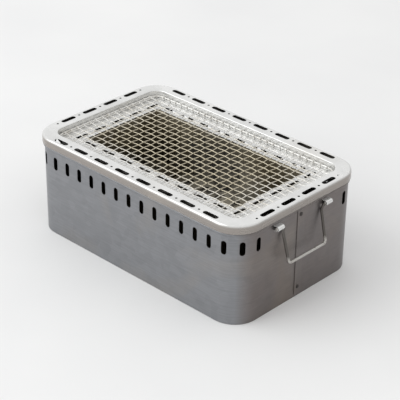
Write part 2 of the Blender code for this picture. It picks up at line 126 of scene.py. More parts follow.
class Outline:
    """A rounded rectangle, walked anticlockwise from the middle of its front."""

    def __init__(self, half_x, half_y, radius):
        self.half_y = half_y
        self.radius = radius
        self.side_x = half_x - radius
        self.side_y = half_y - radius
        self.arc = radius * pi / 2
        self.length = 4 * (self.side_x + self.side_y + self.arc)

    def at(self, u):
        """Point and outward normal, u along the outline."""
        u %= self.length
        x, y, heading = 0.0, -self.half_y, 0.0
        for straight in (self.side_x, 2 * self.side_y, 2 * self.side_x, 2 * self.side_y, self.side_x):
            step = min(u, straight)
            x += step * cos(heading)
            y += step * sin(heading)
            u -= step
            if u <= 0:
                break
            turn = min(u / self.radius, pi / 2)
            x -= self.radius * sin(heading)
            y += self.radius * cos(heading)
            heading += turn
            x += self.radius * sin(heading)
            y -= self.radius * cos(heading)
            u -= turn * self.radius
            if u <= 0:
                break
        return (x, y), (sin(heading), -cos(heading))

    def corners(self):
        """Where the four arcs start."""
        first = self.side_x
        second = first + self.arc + 2 * self.side_y
        third = second + self.arc + 2 * self.side_x
        return first, second, third, third + self.arc + 2 * self.side_y

    def middles(self):
        """Middles of the four sides: front, right, back, left."""
        quarter = self.side_x + self.arc + self.side_y
        return 0.0, quarter, 2 * quarter, 3 * quarter

    def stations(self, step, arc_steps):
        """Plain places to put edges at, close together in the arcs."""
        places = []
        for start, middle in zip(self.corners(), (self.side_y, self.side_x, self.side_y, self.side_x)):
            places += [start + self.arc * i / arc_steps for i in range(arc_steps)]
            count = max(1, round(2 * middle / step))
            places += [start + self.arc + 2 * middle * i / count for i in range(count)]
        return [u % self.length for u in places]


CELL_ARC = 8             # facets in each round end of a slot
CELL_STRAIGHT = 3        # faces along each straight side
# Pressed edge of a slot, as rings: how far past the slot, how far off the sheet's face
CELL_RINGS = ((0.0, -0.00014), (0.00010, -0.00005), (0.00026, -0.00001), (0.00050, 0.0))
ROW_SLACK = 0.0008       # a plain row keeps this far from a slot's cell


def distinct(points):
    """Drop points that repeat the one before, as on a slot without straight sides."""
    return [b for a, b in zip(points[-1:] + points, points) if hypot(a[0] - b[0], a[1] - b[1]) > MERGE / 10]


def stadium(half, radius):
    """Round-ended slot along its first axis, anticlockwise from the lower right."""
    points = []
    for side in (1, -1):
        for i in range(CELL_ARC + 1):
            a = -pi / 2 + pi * i / CELL_ARC
            points.append((side * (half + radius * cos(a)), side * radius * sin(a)))
        for i in range(1, CELL_STRAIGHT):
            points.append((side * half * (1 - 2 * i / CELL_STRAIGHT), side * radius))
    return distinct(points)


def cell_border(half, p, q):
    """Points on the cell's edge that the stadium's points spread out to."""
    middle = (half + p) / 2
    end = [(half, -q), (middle, -q), (p, -q), (p, -q / 2), (p, 0), (p, q / 2), (p, q), (middle, q), (half, q)]
    points = []
    for side in (1, -1):
        points += [(side * x, side * y) for x, y in end]
        points += [(side * half * (1 - 2 * i / CELL_STRAIGHT), side * q) for i in range(1, CELL_STRAIGHT)]
    return distinct(points)


class Sheet:
    """A sheet swept round an outline; u runs along the outline and v through the section's points."""

    def __init__(self, outline, section):
        self.outline = outline
        self.section = section
        self.bm = bmesh.new()
        self.verts = {}

    def place(self, u, v, out=0.0):
        k = min(int(v), len(self.section) - 2)
        f = v - k
        (inset0, z0), (inset1, z1) = self.section[k], self.section[k + 1]
        length = hypot(inset1 - inset0, z1 - z0)
        inset = inset0 + (inset1 - inset0) * f - out * (z1 - z0) / length
        z = z0 + (z1 - z0) * f + out * (inset1 - inset0) / length
        (x, y), (nx, ny) = self.outline.at(u)
        return Vector((x - nx * inset, y - ny * inset, z))

    def vert(self, u, v):
        """The shared vertex at a place on the sheet."""
        turn = round(self.outline.length * 1e6)
        key = (round(u * 1e6) % turn, round(v * 1e4))
        if key not in self.verts:
            self.verts[key] = self.bm.verts.new(self.place(u, v))
        return self.verts[key]

    def quads(self, a, b, vs):
        """Plain quads between two stations."""
        for c, d in zip(vs, vs[1:]):
            self.bm.faces.new((self.vert(a, c), self.vert(b, c), self.vert(b, d), self.vert(a, d)))

    def rows(self, us, vs):
        """Plain quads all the way round."""
        for a, b in zip(us, us[1:] + us[:1]):
            self.quads(a, b, vs)

    def cell(self, u, k, size, half_u, half_v):
        """A slot with pressed edges in a cell of its own; its long axis may run either way."""
        upright = size[1] > size[0]
        radius = min(size) / 2
        half = max(size) / 2 - radius
        p, q = (half_v, half_u) if upright else (half_u, half_v)

        def uv(point):
            a, b = (-point[1], point[0]) if upright else point
            return u + a, k + 0.5 + b / (2 * half_v)

        rings = []
        for grow, drop in CELL_RINGS:
            points = [uv(point) for point in stadium(half, radius + grow)]
            rings.append([self.bm.verts.new(self.place(a, b, drop)) for a, b in points])
        rings.append([self.vert(*uv(point)) for point in cell_border(half, p, q)])
        for inner, outer in zip(rings, rings[1:]):
            for i in range(len(inner)):
                j = (i + 1) % len(inner)
                self.bm.faces.new((inner[i], outer[i], outer[j], inner[j]))

    def perforated(self, plain, k, slots, half_v):
        """Fill the section's span k with slots, and sweep the other spans with matching edges."""
        spans = []
        band = set()
        marks = set()
        for u, size, half_u in slots:
            upright = size[1] > size[0]
            half = max(size) / 2 - min(size) / 2
            long_half = half_v if upright else half_u
            line = [half * (1 - 2 * i / CELL_STRAIGHT) for i in range(CELL_STRAIGHT + 1)]
            long_marks = [-long_half, -(half + long_half) / 2, *line, (half + long_half) / 2, long_half]
            short_half = half_u if upright else half_v
            short_marks = [-short_half, -short_half / 2, 0, short_half / 2, short_half]
            across = short_marks if upright else long_marks
            marks |= {round((u + a) % self.outline.length, 7) for a in across}
            band |= {round(k + 0.5 + b / (2 * half_v), 6) for b in (long_marks if upright else short_marks)}
            spans.append((u % self.outline.length, half_u))
            self.cell(u, k, size, half_u, half_v)

        turn = self.outline.length

        def free(u, slack):
            return all(abs((u - c + turn / 2) % turn - turn / 2) > h + slack for c, h in spans)

        us = sorted(marks | {round(u, 7) for u in plain if free(u, ROW_SLACK)})
        band = sorted(band)
        for a, b in zip(us, us[1:] + us[:1]):
            middle = (a + ((b - a) % turn) / 2) % turn
            if free(middle, -MERGE):
                self.quads(a, b, band)
        self.rows(us, list(range(k + 1)))
        self.rows(us, list(range(k + 1, len(self.section))))
        return us


def new_object(name, data):
    obj = bpy.data.objects.new(name, data)
    bpy.context.scene.collection.objects.link(obj)
    return obj


COARSE_RIPPLE = 11.0     # waves in a metre, roughly
FINE_RIPPLE = 31.0
FINE_SHARE = 0.4


def shape_mesh(name, bm, mat, thickness=0.0, wave=0.0):
    """Make an object of the mesh: ripple it, give it thickness and set its sharp edges."""
    if wave:
        for vert in bm.verts:
            soft = noise.noise(vert.co * COARSE_RIPPLE) + FINE_SHARE * noise.noise(vert.co * FINE_RIPPLE)
            vert.co -= vert.normal * wave * (0.5 + 0.5 * soft)
    mesh = bpy.data.meshes.new(name)
    bm.normal_update()
    bm.to_mesh(mesh)
    bm.free()
    mesh.materials.append(mat)
    obj = new_object(name, mesh)
    if thickness:
        solid = obj.modifiers.new("thickness", "SOLIDIFY")
        solid.thickness = thickness
        solid.offset = -1
        solid.use_even_offset = True
    front_count = len(mesh.vertices)
    bake_modifiers(obj)
    mark(obj, "shaded_back", lambda vert: vert.index >= front_count)  # the back's vertices come last; their mark paints shade on the sheet's back
    return obj


def mark(obj, name, rule):
    """Keep a number from 0 to 1 for each vertex, for the materials to read."""
    layer = obj.data.attributes.get(name) or obj.data.attributes.new(name, "FLOAT", "POINT")
    for vert, value in zip(obj.data.vertices, layer.data):
        value.value = rule(vert)


def finished_mesh(obj):
    """The object's mesh with its modifiers or curve settings applied, smooth but for its sharp edges."""
    mesh = bpy.data.meshes.new_from_object(obj.evaluated_get(bpy.context.evaluated_depsgraph_get()))
    mesh.shade_smooth()
    mesh.set_sharp_from_angle(angle=SHARP_ANGLE)
    return mesh


def bake_modifiers(obj):
    mesh = finished_mesh(obj)
    obj.modifiers.clear()
    obj.data = mesh


def settle(obj, body, slot, *nodes):
    """Put a piece on its body and hide the nodes it stands for; its finish's name is not used."""
    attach(obj, body)
    if nodes:
        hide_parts(*nodes)
    return obj


def arc(cx, cz, radius, start, stop, steps):
    """Points on an arc of a section, angles in degrees from straight inwards towards up."""
    points = []
    for i in range(steps + 1):
        a = radians(start + (stop - start) * i / steps)
        points.append((cx + radius * cos(a), cz + radius * sin(a)))
    return points


def row(count, pitch):
    return [(i - (count - 1) / 2) * pitch for i in range(count)]


# Casing

def wall_outline():
    return Outline(WALL_HIGH.x, WALL_HIGH.y, CORNER - CASING_INSET)


VENT_MARGIN = 0.0022     # of plain sheet round each vent in its cell
ROWS_BELOW = 12
ROWS_ABOVE = 3


def make_casing_wall(mat):
    line = wall_outline()
    half_v = VENT_SIZE[1] / 2 + VENT_MARGIN
    centre = TOP - VENT_DEPTH
    low, high = centre - half_v, centre + half_v
    lower = [(0.0, low * i / ROWS_BELOW) for i in range(ROWS_BELOW + 1)]
    upper = [(0.0, high + (WALL_HIGH.z - high) * i / ROWS_ABOVE) for i in range(ROWS_ABOVE + 1)]
    sheet = Sheet(line, lower + upper)
    pitch = line.length / VENT_COUNT
    slots = []
    for i in range(VENT_COUNT):
        u = VENT_START + i * pitch
        if abs(line.at(u)[0][1]) > VENT_FREE_HALF:
            slots.append((u, VENT_SIZE, VENT_SIZE[0] / 2 + VENT_MARGIN))
    sheet.perforated(line.stations(step=0.008, arc_steps=12), ROWS_BELOW, slots, half_v)
    wall = shape_mesh("casing_sheet", sheet.bm, mat, SHEET, wave=0.00035)
    return settle(wall, "casing", "galvanised_sheet", "casing_wall")


BEAD_OUT = 0.0011
BEAD_HEIGHT = 0.0034
BEAD_STEPS = 8
COLLAR_FOOT = 0.0004     # the bead's lower edge, in from the face
COLLAR_EDGE = ((0.0, 0.0006), (0.0002, 0.0002), (0.0005, 0.0))  # in from the face, down from the top


def make_collar(mat):
    """Raised hoop with a rolled lower edge."""
    line = wall_outline()
    face = WALL_HIGH.x - COLLAR_HIGH.x + BEAD_OUT
    low, high = COLLAR_LOW.z, COLLAR_HIGH.z
    section = [(-GAP, low), (face + COLLAR_FOOT, low)]
    for i in range(1, BEAD_STEPS + 1):
        turn = pi * i / BEAD_STEPS
        section.append((face - BEAD_OUT * sin(turn), low + BEAD_HEIGHT * (1 - cos(turn)) / 2))
    section += [(face + a, high - b) for a, b in COLLAR_EDGE]
    section += [(-GAP, high), (-GAP, low)]
    sheet = Sheet(line, section)
    sheet.rows(line.stations(step=0.010, arc_steps=12), list(range(len(section))))
    bmesh.ops.remove_doubles(sheet.bm, verts=sheet.bm.verts, dist=MERGE)
    collar = shape_mesh("collar_hoop", sheet.bm, mat)
    return settle(collar, "casing", "galvanised_sheet", "casing_collar")


PAN_BEND = 0.0034
PAN_STEP = ((0.020, 0.0), (0.0215, 0.0003), (0.0225, 0.0011), (0.0235, 0.0014))  # inset, height


def make_pan(mat):
    """Bottom pan with a rounded bend and a pressed step."""
    line = wall_outline()
    side = SHEET + 2 * GAP
    section = [(side, PAN_HIGH.z), *arc(side + PAN_BEND, PAN_BEND, PAN_BEND, 180, 270, 6), *PAN_STEP]
    section.reverse()
    sheet = Sheet(line, section)
    us = line.stations(step=0.012, arc_steps=10)
    sheet.rows(us, list(range(len(section))))
    sheet.bm.faces.new([sheet.vert(u, 0) for u in us])
    pan = shape_mesh("bottom_pan", sheet.bm, mat, SHEET)
    return settle(pan, "casing", "galvanised_sheet", "casing_bottom")


def prism(ends):
    """Mesh of a prism, from the corners of its two ends."""
    bm = bmesh.new()
    first, last = ([bm.verts.new(corner) for corner in end] for end in ends)
    bm.faces.new(first)
    bm.faces.new(last[::-1])
    for i in range(len(first)):
        j = (i + 1) % len(first)
        bm.faces.new((first[j], first[i], last[i], last[j]))
    bmesh.ops.recalc_face_normals(bm, faces=bm.faces)
    return bm


SEAM_EDGE = ((0.0, -0.0003), (0.0002, -0.0001), (0.0006, 0.0), (0.0060, -0.0001))  # along y, off its face
SEAM_TAIL = 0.0001       # what is left of the lap's thickness where it runs out


def make_seam(mat, rivet_mat):
    """Lap of the casing sheet, thinning out to one side, with a rivet near each end."""
    low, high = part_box("seam_strip")
    section = [(low.x, low.y)] + [(low.x + SHEET + b, low.y + a) for a, b in SEAM_EDGE]
    section += [(low.x + SEAM_TAIL, high.y), (low.x, high.y)]
    bm = prism([[(x, y, z) for x, y in section] for z in (low.z, high.z)])
    settle(shape_mesh("lap_seam", bm, mat), "casing", "galvanised_sheet", "seam_strip")
    for node in ("seam_rivet_top", "seam_rivet_bottom"):
        make_rivet(node, rivet_mat)


RIVET_HEAD = 0.0013      # height of the dome
RIVET_TAIL = 0.0011
TAIL_EASE = 0.0006
DOME_STEPS = 8


def make_rivet(node, mat):
    """Domed rivet along x with a flat tail."""
    low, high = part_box(node)
    centre = (low + high) / 2
    tail_x, head_x = low.x, high.x
    radius = (high.z - low.z) / 2
    shank, tail, tail_face = radius * 0.54, radius * 0.85, radius * 0.7
    seat = head_x - RIVET_HEAD
    profile = [(tail_x, 0.0), (tail_x, tail_face), (tail_x + TAIL_EASE, tail),
               (tail_x + RIVET_TAIL, tail), (tail_x + RIVET_TAIL, shank), (seat, shank), (seat, radius)]
    for i in range(1, DOME_STEPS):
        a = pi * i / (2 * DOME_STEPS)
        profile.append((seat + RIVET_HEAD * sin(a), radius * cos(a)))
    profile.append((head_x, 0.0))
    bm = bmesh.new()
    verts = [bm.verts.new((x, centre.y, centre.z + r)) for x, r in profile]
    edges = [bm.edges.new(pair) for pair in zip(verts, verts[1:])]
    bmesh.ops.spin(bm, geom=verts + edges, cent=centre, axis=(1, 0, 0), angle=2 * pi, steps=28,
                   use_merge=True)
    bmesh.ops.remove_doubles(bm, verts=bm.verts, dist=MERGE)
    bmesh.ops.recalc_face_normals(bm, faces=bm.faces)
    settle(shape_mesh(node.replace("seam_", ""), bm, mat), "casing", "rivet", node)


# Top frame, firebox and grate

BAND_MARGIN = 0.0012     # beside the dashes; more would reach the rounded outer edge
END_MARGIN = 0.0020      # past the ends of each dash and dot
SKIRT_HEM = ((0.0006, 0.0), (0.0002, 0.0002), (0.0, 0.0007))  # inset, height above its lower edge
LEDGE_EASE = 0.0006
SKIRT_REFLECTION_START = 0.0008     # down from the rim to where the painted reflection on the skirt begins
SKIRT_REFLECTION_FADE = 0.8 * RIM_ROUND


def make_top_frame(mat):
    line = Outline(RIM_HIGH.x, RIM_HIGH.y, CORNER)
    half_v = FRAME_DASH[1] / 2 + BAND_MARGIN
    ledge = TOP - RECESS_DEPTH - SHEET - 2 * GAP
    inner = RECESS_WALL + LEDGE
    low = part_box("top_frame")[0].z
    section = [(inset, low + rise) for inset, rise in SKIRT_HEM]
    section += arc(RIM_ROUND, TOP - RIM_ROUND, RIM_ROUND, 180, 90, 6)
    section += [(FRAME_ROW_INSET - half_v, TOP), (FRAME_ROW_INSET + half_v, TOP)]
    band = len(section) - 2
    section += arc(RECESS_WALL - RIM_CREASE, TOP - RIM_CREASE, RIM_CREASE, 90, 0, 5)
    section += arc(RECESS_WALL + RIM_CREASE, ledge + RIM_CREASE, RIM_CREASE, 180, 270, 4)
    section += [(inner - LEDGE_EASE, ledge), (inner, ledge - LEDGE_EASE / 2)]
    slots = []
    for middle, dashes, dots in zip(line.middles(), FRAME_DASH_COUNTS * 2, FRAME_DOT_COUNTS * 2):
        for count, size in ((dashes, FRAME_DASH), (dots, FRAME_DOT)):
            slots += [(middle + a, size, size[0] / 2 + END_MARGIN) for a in row(count, FRAME_PITCH)]
    sheet = Sheet(line, section)
    sheet.perforated(line.stations(step=0.010, arc_steps=14), band, slots, half_v)
    rim = shape_mesh("rim_frame", sheet.bm, mat, THIN_SHEET, wave=0.00018)
    # marks the skirt for its painted dark warm reflection
    mark(rim, "skirt_reflection", skirt_reflection_mask)
    return settle(rim, "frame", "rim_sheet", "top_frame")


def skirt_reflection_mask(vert):
    """1 on the outer skirt, which gets a painted dark warm reflection, 0 on the bright rim."""
    off_x = max(abs(vert.co.x) - (RIM_HIGH.x - CORNER), 0)
    off_y = max(abs(vert.co.y) - (RIM_HIGH.y - CORNER), 0)
    if CORNER - hypot(off_x, off_y) > RIM_ROUND:
        return 0.0
    return min(1.0, max(0.0, (TOP - SKIRT_REFLECTION_START - vert.co.z) / SKIRT_REFLECTION_FADE))


def add_spline(curve, points, closed=False):
    spline = curve.splines.new("POLY")
    spline.points.add(len(points) - 1)
    for target, point in zip(spline.points, points):
        target.co = (*point, 1)
    spline.use_cyclic_u = closed
    return spline


def slot_points(x, y, size):
    """A round-ended hole with its middle at x, y."""
    radius = min(size) / 2
    points = stadium(max(size) / 2 - radius, radius)
    if size[1] > size[0]:
        points = [(-b, a) for a, b in points]
    return [(x + a, y + b, 0.0) for a, b in points]


def ring_points(line, inset):
    places = [line.at(u) for u in line.stations(step=0.05, arc_steps=10)]
    return [(x - nx * inset, y - ny * inset, 0.0) for (x, y), (nx, ny) in places]


PLATE_EASE = 0.00018


def flat_plate(name, outlines, holes, z, thickness, mat):
    """Flat sheet with eased edges: outlines are rings, outer one first, and holes are (x, y, size)."""
    curve = bpy.data.curves.new(name, "CURVE")
    curve.dimensions = "2D"
    curve.fill_mode = "BOTH"
    curve.extrude = thickness / 2 - PLATE_EASE
    curve.bevel_depth = PLATE_EASE
    curve.bevel_resolution = 2
    for line, inset in zip(outlines, (PLATE_EASE, -PLATE_EASE)):
        add_spline(curve, ring_points(line, inset), closed=True)
    for x, y, size in holes:
        add_spline(curve, slot_points(x, y, [width + 2 * PLATE_EASE for width in size]), closed=True)
    flat = new_object(name, curve)
    mesh = finished_mesh(flat)
    bpy.data.objects.remove(flat)
    mesh.transform(Matrix.Translation((0, 0, z - thickness / 2)))
    mesh.materials.clear()
    mesh.materials.append(mat)
    return new_object(name, mesh)


def make_flange(mat):
    outer = Outline(FLANGE_HIGH.x, FLANGE_HIGH.y, CORNER - RECESS_WALL - FLANGE_GAP)
    opening = Outline(*OPENING_HALF, OPENING_RADIUS)
    along, across = (row(count, FLANGE_PITCH) for count in FLANGE_DASH_COUNTS)
    holes = []
    for side in (-1, 1):
        holes += [(x, side * FLANGE_ROW_HALF[1], FLANGE_DASH) for x in along]
        holes += [(side * FLANGE_ROW_HALF[0], y, FLANGE_DASH[::-1]) for y in across]
    plate = flat_plate("fire_flange", [outer, opening], holes, FLANGE_HIGH.z, THIN_SHEET, mat)
    # the flange's underside is marked for painted shade
    mark(plate, "shaded_back", lambda vert: vert.co.z < FLANGE_HIGH.z - THIN_SHEET / 3)
    return settle(plate, "firebox", "rim_sheet", "firebox_flange")


DRAUGHT_MARGIN = 0.0030
TUB_ROWS = (0.072, 0.084, 0.096, 0.108, 0.120, 0.130, 0.1352)  # heights of the plain rows
LIP_BEND = ((-0.0004, -0.0006), (-0.0012, 0.0))  # inset, from the lip's underside
LIP_SHADE_REACH = 0.0014        # further out than this the lip, hidden under the flange, is painted with the shade of a sheet's back


def make_tub(mat):
    """Tapered tub: its outer face swept up from the floor and out into the lip."""
    half_x, half_y = TUB_HIGH.x - TUB_LIP, TUB_HIGH.y - TUB_LIP
    line = Outline(half_x, half_y, TUB_RADIUS)
    floor = TUB_LOW.z
    half_v = DRAUGHT_SLOT[1] / 2 + DRAUGHT_MARGIN
    top = TUB_HIGH.z - SHEET

    def inset(z):
        return TUB_TAPER * (top - z) / (top - floor)

    bend = arc(inset(floor) + TUB_BEND, floor + TUB_BEND, TUB_BEND, 270, 180, 4)
    rise = [(inset(z), z) for z in (DRAUGHT_Z - half_v, DRAUGHT_Z + half_v, *TUB_ROWS)]
    lip = [(out, top + drop) for out, drop in LIP_BEND] + [(-TUB_LIP, top)]
    section = bend[:-1] + rise + lip
    band = len(bend) - 1
    slots = []
    for middle, count, pitch in zip(line.middles(), DRAUGHT_COUNTS * 2, DRAUGHT_PITCHES * 2):
        slots += [(middle + a, DRAUGHT_SLOT, DRAUGHT_SLOT[0] / 2 + DRAUGHT_MARGIN) for a in row(count, pitch)]
    sheet = Sheet(line, section)
    us = sheet.perforated(line.stations(step=0.012, arc_steps=8), band, slots, half_v)
    sheet.bm.faces.new([sheet.vert(u, 0) for u in reversed(us)])
    tub = shape_mesh("fire_tub", sheet.bm, mat, SHEET, wave=0.0003)
    # the lip's outer part under the flange is marked for painted shade
    mark(tub, "shaded_back", lambda vert: max(abs(vert.co.x) - half_x, abs(vert.co.y) - half_y) > LIP_SHADE_REACH)
    return settle(tub, "firebox", "fired_sheet", "firebox_tub")


def make_grate(mat):
    line = Outline(GRATE_HIGH.x, GRATE_HIGH.y, OPENING_RADIUS)
    holes = [(x, side * GRATE_ROW_Y, GRATE_SLOT) for x in row(GRATE_SLOTS, GRATE_PITCH) for side in (-1, 1)]
    plate = flat_plate("grate_plate", [line], holes, GRATE_HIGH.z, GRATE_SHEET, mat)
    settle(plate, "grate", "fired_sheet", "charcoal_grate")
    for node in ("grate_rail_left", "grate_rail_right"):
        make_rail(node, mat)


def make_rail(node, mat):
    """Channel of bent strip under the grate."""
    low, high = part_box(node)
    middle = (low.x + high.x) / 2
    half = (high.x - low.x) / 2
    inner = half - SHEET
    ease = 0.0006
    points = [(-half, low.z), (-half, high.z - ease), (-half + ease, high.z), (half - ease, high.z),
              (half, high.z - ease), (half, low.z), (inner, low.z), (inner, high.z - SHEET),
              (-inner, high.z - SHEET), (-inner, low.z)]
    bm = prism([[(middle + x, side * high.y, z) for x, z in points] for side in (-1, 1)])
    settle(shape_mesh(node.replace("grate_", "channel_"), bm, mat), "grate", "fired_sheet", node)


# Cooking net

def tube(bm, path, radius, sides, closed=False):
    """Round wire along a path, its section kept upright."""
    rings = []
    count = len(path)
    for i, point in enumerate(path):
        before = path[i - 1] if closed or i else path[0]
        after = path[(i + 1) % count] if closed or i < count - 1 else path[-1]
        along = (after - before).normalized()
        side = along.cross(Vector((0, 0, 1)))
        if side.length < 1e-4:
            side = Vector((along.y, -along.x, 0)) if rings else Vector((0, 1, 0))
        side.normalize()
        up = side.cross(along)
        rings.append([bm.verts.new(point + (side * cos(a) + up * sin(a)) * radius)
                      for a in (2 * pi * k / sides for k in range(sides))])
    last = count if closed else count - 1
    for i in range(last):
        a, b = rings[i], rings[(i + 1) % count]
        for k in range(sides):
            m = (k + 1) % sides
            bm.faces.new((a[k], a[m], b[m], b[k]))
    if not closed:
        bm.faces.new(rings[0][::-1])
        bm.faces.new(rings[-1])


def net_outline():
    """Middle line of the net's rim wire."""
    radius = CORNER - RECESS_WALL - NET_CLEARANCE - NET_RIM_INSET
    return Outline(NET_RIM_HIGH.x - NET_RIM_INSET, NET_RIM_HIGH.y - NET_RIM_INSET, radius)


def reach(across, half_along, half_across, radius):
    """How far the net's rim lies along one axis, at a place across it."""
    over = min(max(abs(across) - (half_across - radius), 0), radius)
    return half_along - radius + (radius ** 2 - over ** 2) ** 0.5


HOOK_STEPS = 7
HOOK_START = 100         # degrees round the rim wire
HOOK_TURN = 280
HOOK_ROOM = 0.0040       # next to the rim wire the woven part ends, and no parallel wire lies
WEAVE_STEPS = 6
WEAVE_SWING = 0.0004     # each wire's rise and fall at the crossings


def woven_wire(end, phase, level):
    """Heights along a wire woven over and under at every pitch, hooked round the rim wire at both ends."""
    hook = (NET_RIM_WIRE + NET_WIRE) / 2
    count = 2 * int(end / NET_PITCH * WEAVE_STEPS) + 1
    points = []
    for a in row(count, NET_PITCH / WEAVE_STEPS):
        if abs(a) < end - HOOK_ROOM:
            points.append((a, level + WEAVE_SWING * phase * cos(pi * a / NET_PITCH)))
    tails = []
    for i in range(HOOK_STEPS + 1):
        turn = radians(HOOK_START - HOOK_TURN * i / HOOK_STEPS)
        tails.append((end + hook * cos(turn), level + hook * sin(turn)))
    start = [(-a, z) for a, z in reversed(tails)]
    return start + points + tails


def make_net(mat):
    """Crimped wires woven over and under, hooked round a thicker rim wire."""
    line = net_outline()
    level = FLANGE_HIGH.z + GAP + NET_WIRE + NET_RIM_WIRE / 2
    half_x = line.side_x + line.radius
    half_y = line.half_y
    bm = bmesh.new()
    xs, ys = (row(2 * int((half - HOOK_ROOM) / NET_PITCH) + 1, NET_PITCH) for half in (half_x, half_y))
    middle = (len(ys) - 1) // 2
    for j, y in enumerate(ys):
        phase = 1 if (j - middle) % 2 else -1
        path = woven_wire(reach(y, half_x, half_y, line.radius), phase, level)
        tube(bm, [Vector((a, y, z)) for a, z in path], NET_WIRE / 2, sides=6)
    middle = (len(xs) - 1) // 2
    for i, x in enumerate(xs):
        phase = -1 if (i - middle) % 2 else 1
        path = woven_wire(reach(x, half_y, half_x, line.radius), phase, level)
        tube(bm, [Vector((x, a, z)) for a, z in path], NET_WIRE / 2, sides=6)
    net = shape_mesh("woven_net", bm, mat)
    net.data.shade_smooth()
    settle(net, "net", "net_wire", "cooking_net")
    bm = bmesh.new()
    rim = [Vector((*line.at(u)[0], level)) for u in line.stations(step=0.03, arc_steps=12)]
    tube(bm, rim, NET_RIM_WIRE / 2, sides=12, closed=True)
    settle(shape_mesh("net_edge_wire", bm, mat), "net", "net_wire", "net_rim")


# Handles

def strip_section(path, thickness):
    """Closed outline of a bent strip whose middle follows the path."""
    sides = ([], [])
    for i, (x, z) in enumerate(path):
        before = path[max(i - 1, 0)]
        after = path[min(i + 1, len(path) - 1)]
        dx, dz = after[0] - before[0], after[1] - before[1]
        length = hypot(dx, dz)
        nx, nz = -dz / length * thickness / 2, dx / length * thickness / 2
        sides[0].append((x + nx, z + nz))
        sides[1].append((x - nx, z - nz))
    return sides[0] + sides[1][::-1]


STRAP_FOOT = ((0.0, 0.0050), (0.0, 0.0012), (0.0004, 0.0003), (0.0014, 0.0))  # outwards, past the eye
STRAP_EASE = 0.00025


def make_strap(node, side, mat):
    """Strip bent round the handle wire; its feet go through the wall and turn flat behind it."""
    low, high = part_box(node)
    centre = (low + high) / 2
    eye = STRAP_BORE + STRAP_THICKNESS / 2
    behind = -SHEET - 2 * GAP - STRAP_THICKNESS / 2
    foot = [(behind + out, eye + beyond) for out, beyond in STRAP_FOOT]
    path = foot + arc(PIVOT_OUT, 0.0, eye, 90, -90, 18) + [(x, -z) for x, z in reversed(foot)]
    section = strip_section(path, STRAP_THICKNESS)
    half = (high.y - low.y) / 2
    bm = prism([[(x, end * half, z) for x, z in section] for end in (-1, 1)])
    strap = shape_mesh(node.replace("handle_", ""), bm, mat)
    bevel = strap.modifiers.new("edges", "BEVEL")
    bevel.width = STRAP_EASE
    bevel.segments = 3
    bevel.limit_method = "ANGLE"
    bevel.angle_limit = radians(40)
    bake_modifiers(strap)
    place = Matrix.Translation((side * WALL_HIGH.x, centre.y, TOP - PIVOT_DEPTH))
    if side < 0:
        place = place @ Matrix.Rotation(pi, 4, "Z")
    strap.data.transform(place)
    return settle(strap, "casing", "rim_sheet", node)


def rounded(corners, radius, steps):
    """A path with its inner corners turned into arcs."""
    points = [Vector(corners[0])]
    for a, b, c in zip(corners, corners[1:], corners[2:]):
        a, b, c = Vector(a), Vector(b), Vector(c)
        back, ahead = (a - b).normalized(), (c - b).normalized()
        half = back.angle(ahead) / 2
        cut = min(radius / tan(half), 0.45 * min((a - b).length, (c - b).length))
        r = cut * tan(half)
        middle = b + (back + ahead).normalized() * hypot(cut, r)
        start = (b + back * cut - middle).normalized()
        stop = (b + ahead * cut - middle).normalized()
        points += [middle + start.slerp(stop, i / steps) * r for i in range(steps + 1)]
    points.append(Vector(corners[-1]))
    return points


def make_bail(node, side, mat):
    """Bent wire handle hanging in its straps."""
    pivot_x, pivot_z = WALL_HIGH.x + PIVOT_OUT, TOP - PIVOT_DEPTH
    bear_x = WALL_HIGH.x + WIRE / 2 + GAP
    corners = [(pivot_x, PIVOT_TIP, pivot_z), (pivot_x, LEG_Y, pivot_z),
               (bear_x, KNEE_Y, pivot_z - KNEE_DROP), (WALL_HIGH.x + BAR_OUT, BAR_HALF, TOP - BAR_DEPTH)]
    corners += [(x, -y, z) for x, y, z in reversed(corners)]
    points = rounded([(side * x, y, z) for x, y, z in corners], BAIL_BEND, 9)
    chamfer = Vector((0.0, WIRE_CHAMFER, 0.0))
    curve = bpy.data.curves.new(node, "CURVE")
    curve.dimensions = "3D"
    curve.bevel_depth = WIRE / 2
    curve.bevel_resolution = 6
    curve.use_fill_caps = True
    curve.materials.append(mat)
    points = [points[0], points[0] - chamfer, *points[1:-1], points[-1] + chamfer, points[-1]]
    spline = add_spline(curve, points)
    spline.points[0].radius = spline.points[-1].radius = TIP_WIDTH
    bail = new_object(node.replace("handle_", "wire_"), curve)
    return settle(bail, node.replace("bail_", ""), "handle_wire", node)


# Materials

def new_material(name):
    mat = bpy.data.materials.new(name)
    mat.use_nodes = True
    tree = mat.node_tree
    return mat, tree, tree.nodes["Principled BSDF"]


def add(tree, kind, inputs=None, **settings):
    """Add a node; inputs are values or sockets, settings are its properties."""
    node = tree.nodes.new(kind)
    for key, value in settings.items():
        setattr(node, key, value)
    for key, value in (inputs or {}).items():
        if isinstance(value, bpy.types.NodeSocket):
            tree.links.new(value, node.inputs[key])
        else:
            node.inputs[key].default_value = value
    return node


def stretched(tree, scale):
    """Object coordinates in metres, scaled along each axis."""
    coords = add(tree, "ShaderNodeTexCoord").outputs["Object"]
    return add(tree, "ShaderNodeMapping", {"Vector": coords, "Scale": scale}).outputs["Vector"]


def noise_value(tree, scale, detail=3.0, stretch=(1, 1, 1), distortion=0.0):
    inputs = {"Vector": stretched(tree, stretch), "Scale": scale, "Detail": detail, "Distortion": distortion}
    return add(tree, "ShaderNodeTexNoise", inputs).outputs["Fac"]


def spread(tree, value, low, high, to_low, to_high):
    inputs = {"Value": value, "From Min": low, "From Max": high, "To Min": to_low, "To Max": to_high}
    return add(tree, "ShaderNodeMapRange", inputs).outputs["Result"]


